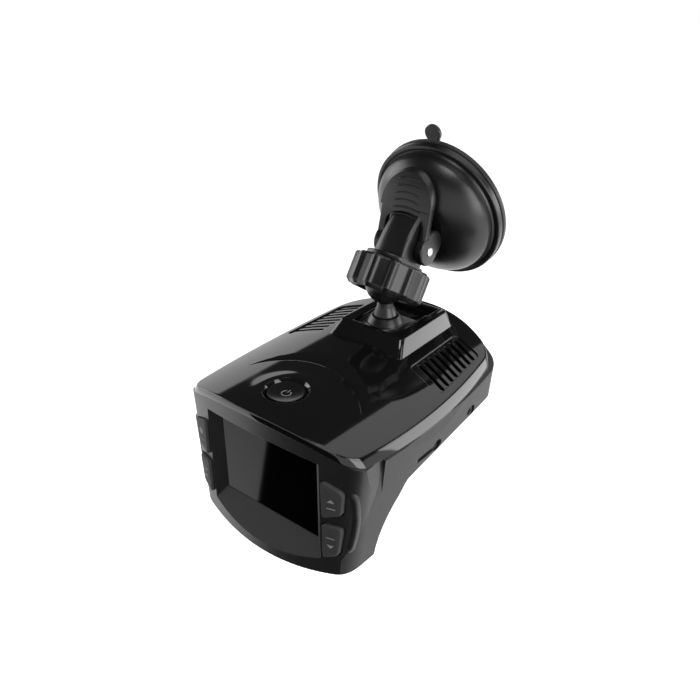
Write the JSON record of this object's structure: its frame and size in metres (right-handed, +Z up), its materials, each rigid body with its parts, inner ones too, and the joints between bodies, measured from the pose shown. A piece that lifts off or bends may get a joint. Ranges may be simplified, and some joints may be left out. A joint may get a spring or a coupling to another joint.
{
  "type": "radar detector",
  "caption": "Windscreen radar detector with a display, side keys and cooling vents, hung from a lever-locked suction mount with a ball joint.",
  "frame": {"origin": "centre of the suction disc's face on the glass", "axes": "+Z up, +Y towards the road, +X to the driver's right; the display faces -Y; the disc's face looks along +Y, tipped up by 15.7 degrees"},
  "size_m": [0.085, 0.1187, 0.1347],
  "materials": {
    "gloss_shell": "high gloss",
    "housing_plastic": "fine spark texture",
    "bezel_plastic": "satin",
    "window": "smoked, polished",
    "screw_steel": "black zinc",
    "button_plastic": "satin with a pale mark",
    "switch_plastic": "moulded",
    "circuit_board": "solder mask",
    "display_glass": "polished",
    "shield_metal": "tinned",
    "heat_sink": "anodised",
    "ceramic": "fired ceramic",
    "cast_horn": "die cast",
    "lens_glass": "coated",
    "lens_plastic": "dark red, polished",
    "speaker_frame": "satin",
    "battery_wrap": "foil wrap",
    "mount_plastic": "satin",
    "pin_steel": "polished end",
    "disc_rubber": "soft satin",
    "key_rubber": "soft matt with pale marks"
  },
  "bodies": {
    "mount": {"mount_arm": "mount_plastic", "lever_pin": "pin_steel", "suction_disc": "disc_rubber"},
    "dome": {"suction_dome": "mount_plastic"},
    "lever": {"lever": "mount_plastic"},
    "nut": {"clamp_nut": "mount_plastic"},
    "stud": {"ball_stud": "mount_plastic"},
    "plate": {"slide_plate": "mount_plastic"},
    "device": {"top_cover": "gloss_shell", "lower_housing": "housing_plastic", "front_bezel": "bezel_plastic", "display_window": "window", "rear_window": "window", "housing_screws": "screw_steel", "power_switch": "switch_plastic", "button_board": "circuit_board", "key_switches": "switch_plastic", "display_panel": "display_glass", "display_frame": "shield_metal", "front_board": "circuit_board", "main_board": "circuit_board", "processor": "switch_plastic", "heat_sink": "heat_sink", "gps_antenna": "ceramic", "card_socket": "shield_metal", "power_jack": "switch_plastic", "horn_antenna": "cast_horn", "mixer_board": "circuit_board", "mixer_shield": "shield_metal", "camera_barrel": "switch_plastic", "camera_lens": "lens_glass", "camera_board": "circuit_board", "laser_lens": "lens_plastic", "laser_sensor": "circuit_board", "speaker": "speaker_frame", "battery": "battery_wrap"},
    "power_button": {"power_button": "button_plastic"},
    "key_up": {"key_up": "key_rubber"},
    "key_down": {"key_down": "key_rubber"},
    "key_record": {"key_record": "key_rubber"},
    "key_mode": {"key_mode": "key_rubber"}
  },
  "joints": [
    {"name": "lever_swing", "type": "hinge", "parent": "mount", "child": "lever", "pos_m": [0, -0.02516, -0.00915], "axis": [1, 0, 0], "range_deg": [0, 46]},
    {"name": "dome_slide", "type": "slide", "parent": "mount", "child": "dome", "axis": [0, -0.9627, -0.2706], "range_m": [0, 0.0018]},
    {"name": "nut_turn", "type": "hinge", "parent": "mount", "child": "nut", "pos_m": [0, -0.0371, -0.0208], "axis": [0, 0.5736, 0.8192], "range_deg": [0, 180]},
    {"name": "ball_tilt", "type": "hinge", "parent": "mount", "child": "stud", "pos_m": [0, -0.0371, -0.0208], "axis": [1, 0, 0], "range_deg": [-20, 10]},
    {"name": "ball_swivel", "type": "hinge", "parent": "stud", "child": "plate", "pos_m": [0, -0.0371, -0.0208], "axis": [0, 0, 1], "continuous": true},
    {"name": "bracket_slide", "type": "slide", "parent": "plate", "child": "device", "axis": [0, -1, 0], "range_m": [0, 0.0118]},
    {"name": "power_button_press", "type": "slide", "parent": "device", "child": "power_button", "axis": [0, 0, -1], "range_m": [0, 0.0006], "stiffness_N_per_m": 1200},
    {"name": "key_up_press", "type": "slide", "parent": "device", "child": "key_up", "axis": [0, 1, 0], "range_m": [0, 0.0003], "stiffness_N_per_m": 1500},
    {"name": "key_down_press", "type": "slide", "parent": "device", "child": "key_down", "axis": [0, 1, 0], "range_m": [0, 0.0003], "stiffness_N_per_m": 1500},
    {"name": "key_record_press", "type": "slide", "parent": "device", "child": "key_record", "axis": [0, 1, 0], "range_m": [0, 0.0003], "stiffness_N_per_m": 1500},
    {"name": "key_mode_press", "type": "slide", "parent": "device", "child": "key_mode", "axis": [0, 1, 0], "range_m": [0, 0.0003], "stiffness_N_per_m": 1500}
  ],
  "couplings": [
    {"joint": "lever_swing", "follows": "dome_slide", "rad_per_m": 446}
  ]
}
